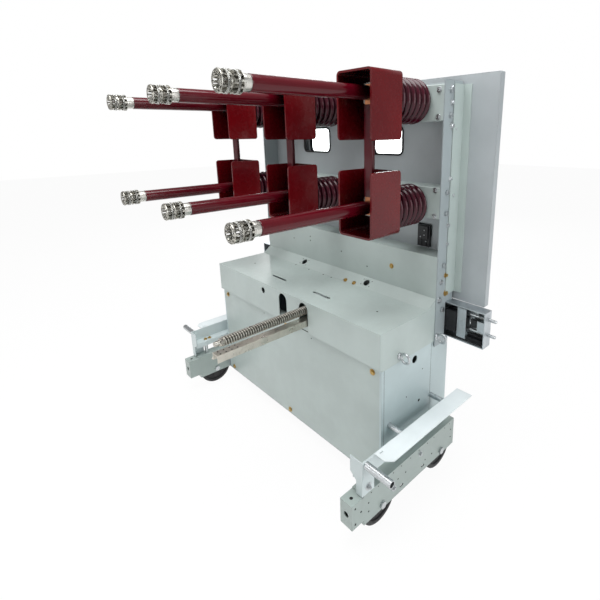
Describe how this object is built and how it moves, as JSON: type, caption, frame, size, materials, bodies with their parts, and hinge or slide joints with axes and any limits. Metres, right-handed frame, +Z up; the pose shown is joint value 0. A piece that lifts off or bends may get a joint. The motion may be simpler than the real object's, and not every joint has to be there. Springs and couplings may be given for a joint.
{
  "type": "indoor circuit breaker truck",
  "caption": "Withdrawable truck for indoor medium-voltage switchgear: insulated contact arms with tulip contacts on a wheeled cabinet with racking screw, spring locks and operator panel.",
  "frame": {"origin": "on the floor, below the middle of the truck's bounding box", "axes": "+X across the phases, -Y towards the fixed contacts, +Y towards the operator, +Z up"},
  "size_m": [1.4, 0.86, 1.395],
  "materials": {
    "sheet_paint": "light grey-green powder coat, satin",
    "wing_paint": "light grey-green powder coat, satin",
    "red_resin": "deep red insulating resin, glossy",
    "maroon_resin": "dark maroon cast resin, glossy",
    "silvered_copper": "silver-plated copper",
    "spring_steel": "bright spring steel",
    "copper": "bare copper",
    "zinc": "bright zinc plate",
    "yellow_zinc": "yellow chromated zinc",
    "screw_steel": "turned steel, oiled",
    "wheel_black": "black cast nylon",
    "black_plastic": "black moulded plastic",
    "gasket": "black rubber edging",
    "pane": "clear toughened glass"
  },
  "bodies": {
    "truck": {"apron_plate": "sheet_paint", "arm_sleeves": "red_resin", "axle_bolts": "zinc", "backplate": "sheet_paint", "centre_hoods": "red_resin", "centre_insulators": "maroon_resin", "centre_tulip_fingers": "silvered_copper", "contact_bases": "silvered_copper", "contact_cages": "spring_steel", "contact_rods": "copper", "contact_side_panel": "sheet_paint", "floor_plate": "sheet_paint", "frame_bolts": "zinc", "garter_springs": "spring_steel", "guide_tubes": "zinc", "interlock_beam": "zinc", "left_base_rail": "sheet_paint", "left_hoods": "red_resin", "left_insulators": "maroon_resin", "left_rail_nose": "sheet_paint", "left_ramp_plate": "wing_paint", "left_side_panel": "sheet_paint", "left_tulip_fingers": "silvered_copper", "left_upright": "sheet_paint", "left_wing_channel": "wing_paint", "lifting_eyes": "zinc", "link_bars": "copper", "link_sleeves": "red_resin", "lock_boxes": "black_plastic", "lower_cross_beam": "sheet_paint", "operator_panel": "sheet_paint", "operator_side_panel": "sheet_paint", "panel_backing": "sheet_paint", "panel_brackets": "sheet_paint", "panel_screws": "yellow_zinc", "right_base_rail": "sheet_paint", "right_hoods": "red_resin", "right_insulators": "maroon_resin", "right_rail_nose": "sheet_paint", "right_ramp_plate": "wing_paint", "right_side_panel": "sheet_paint", "right_tulip_fingers": "silvered_copper", "right_upright": "sheet_paint", "right_wing_channel": "wing_paint", "screw_bearings": "zinc", "screw_guide": "screw_steel", "terminal_pads": "silvered_copper", "top_cover": "sheet_paint", "upper_cross_beam": "sheet_paint", "window_gaskets": "gasket", "window_panes": "pane", "wing_brackets": "wing_paint", "wing_posts": "zinc"},
    "front_left_wheel": {"front_left_wheel": "wheel_black"},
    "front_right_wheel": {"front_right_wheel": "wheel_black"},
    "rear_left_wheel": {"rear_left_wheel": "wheel_black"},
    "rear_right_wheel": {"rear_right_wheel": "wheel_black"},
    "racking_screw": {"racking_screw": "screw_steel"},
    "left_lock": {"left_lock_slide": "zinc"},
    "right_lock": {"right_lock_slide": "zinc"}
  },
  "joints": [
    {"name": "front_left_wheel_spin", "type": "hinge", "parent": "truck", "child": "front_left_wheel", "pos_m": [-0.552, -0.077, 0.075], "axis": [1, 0, 0], "continuous": true},
    {"name": "front_right_wheel_spin", "type": "hinge", "parent": "truck", "child": "front_right_wheel", "pos_m": [0.552, -0.077, 0.075], "axis": [1, 0, 0], "continuous": true},
    {"name": "rear_left_wheel_spin", "type": "hinge", "parent": "truck", "child": "rear_left_wheel", "pos_m": [-0.552, 0.247, 0.075], "axis": [1, 0, 0], "continuous": true},
    {"name": "rear_right_wheel_spin", "type": "hinge", "parent": "truck", "child": "rear_right_wheel", "pos_m": [0.552, 0.247, 0.075], "axis": [1, 0, 0], "continuous": true},
    {"name": "racking_screw_turn", "type": "hinge", "parent": "truck", "child": "racking_screw", "pos_m": [0.131, 0, 0.576], "axis": [0, 1, 0], "continuous": true},
    {"name": "left_lock_travel", "type": "slide", "parent": "truck", "child": "left_lock", "axis": [1, 0, 0], "range_m": [0, 0.028], "stiffness_N_per_m": 900, "springref_m": -0.012},
    {"name": "right_lock_travel", "type": "slide", "parent": "truck", "child": "right_lock", "axis": [-1, 0, 0], "range_m": [0, 0.028], "stiffness_N_per_m": 900, "springref_m": -0.012}
  ]
}
